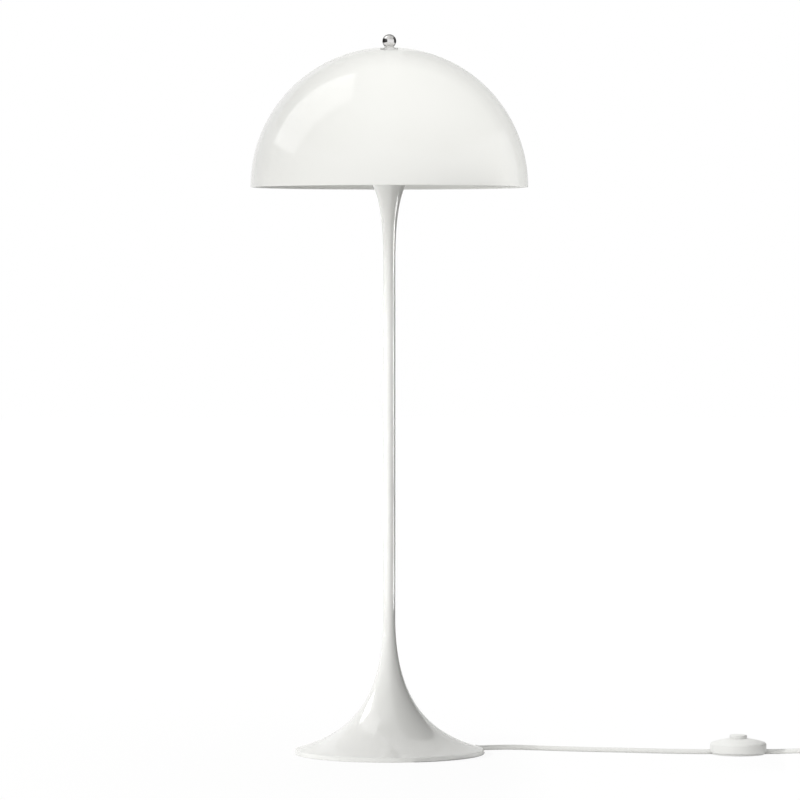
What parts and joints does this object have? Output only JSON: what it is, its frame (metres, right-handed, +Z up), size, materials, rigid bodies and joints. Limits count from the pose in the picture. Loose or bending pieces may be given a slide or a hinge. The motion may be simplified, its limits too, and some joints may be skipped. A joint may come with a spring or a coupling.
{
  "type": "floor lamp",
  "caption": "Mushroom floor lamp: half-sphere shade on a slim stem over a trumpet foot, with a cord, a round foot switch and a two-pin plug.",
  "frame": {"origin": "on the floor, on the axis of the stem", "axes": "+Z up along the stem; +X towards the side where the cord runs to its foot switch; -Y towards the front"},
  "size_m": [1.1496, 0.501, 1.2973],
  "materials": {
    "enamel": "gloss white enamel",
    "opal": "gloss opal white acrylic",
    "chrome": "polished chrome",
    "iron": "raw cast iron",
    "steel": "zinc plated steel",
    "brass": "bare brass",
    "felt": "pale felt",
    "white_pvc": "white flexible sheath",
    "white_plastic": "satin white moulded plastic",
    "silicone": "translucent white silicone",
    "ceramic": "glazed white ceramic",
    "bulb_glass": "frosted glass",
    "bulb_metal": "bright bulb cap",
    "strap": "white woven tie"
  },
  "bodies": {
    "stand": {"foot_shell": "enamel", "ballast_plate": "iron", "base_cover": "enamel", "foot_pads": "felt", "cover_screws": "steel", "socket_screws": "steel", "stem_socket": "steel", "socket_locknut": "brass", "foot_terminal": "white_plastic", "terminal_screws": "brass", "foot_clamp": "white_plastic", "foot_clamp_screws": "steel", "cord_grommet": "white_pvc", "cord_in_foot": "white_pvc", "tie_tube": "steel", "spigot_lower": "steel", "stem_tube": "enamel", "spigot_upper": "steel", "top_trumpet": "enamel", "carrier_hub": "enamel", "hub_washer": "steel", "hub_nut": "brass", "carrier_rods": "steel", "carrier_top": "steel", "shade_stud": "steel", "stud_locknut": "steel", "seat_washer": "silicone", "holder_cap": "white_plastic", "holder_body": "white_plastic", "holder_insert": "ceramic", "screw_shell": "brass", "centre_contact": "brass", "holder_terminals": "brass", "inner_cord": "white_pvc", "cord_foot_to_switch": "white_pvc", "switch_base": "white_plastic", "switch_cover": "white_plastic", "switch_pads": "silicone", "switch_screws": "steel", "switch_terminals": "brass", "cord_clamps": "white_plastic", "clamp_screws": "steel", "mech_housing": "white_plastic", "rocker_pin": "steel", "fixed_contact": "brass", "cord_switch_to_coil": "white_pvc", "cord_coil": "white_pvc", "coil_tie": "strap", "cord_coil_to_plug": "white_pvc", "plug_boot": "white_pvc", "plug_body": "white_plastic", "plug_pins": "brass"},
    "shade": {"shade": "opal"},
    "finial_washer": {"finial_washer": "white_plastic"},
    "ball_nut": {"ball_nut": "chrome"},
    "bulb": {"bulb_cap": "bulb_metal", "bulb_glass": "bulb_glass"},
    "button": {"switch_button": "white_plastic", "button_spring": "steel"},
    "rocker": {"contact_rocker": "brass"}
  },
  "joints": [
    {"name": "shade_lift", "type": "slide", "parent": "stand", "child": "shade", "axis": [0, 0, 1], "range_m": [0, 0.28]},
    {"name": "finial_rise", "type": "slide", "parent": "shade", "child": "finial_washer", "axis": [0, 0, 1], "range_m": [0, 0.015]},
    {"name": "finial_turn", "type": "hinge", "parent": "finial_washer", "child": "ball_nut", "pos_m": [0, 0, 1.2846], "axis": [0, 0, 1], "range_deg": [0, 5402]},
    {"name": "bulb_lift", "type": "slide", "parent": "stand", "child": "bulb", "axis": [0, 0, 1], "range_m": [0, 0.03]},
    {"name": "button_press", "type": "slide", "parent": "stand", "child": "button", "axis": [0, 0, -1], "range_m": [0, 0.0035], "stiffness_N_per_m": 600, "springref_m": -0.004, "deforming": ["button_spring"]},
    {"name": "rocker_tip", "type": "hinge", "parent": "stand", "child": "rocker", "pos_m": [0.6195, -0.01, 0.0136], "axis": [0, 1, 0], "range_deg": [0, 22.1]}
  ],
  "couplings": [
    {"joint": "finial_turn", "follows": "finial_rise", "rad_per_m": 6283.2},
    {"joint": "rocker_tip", "follows": "button_press", "rad_per_m": 109.71}
  ]
}
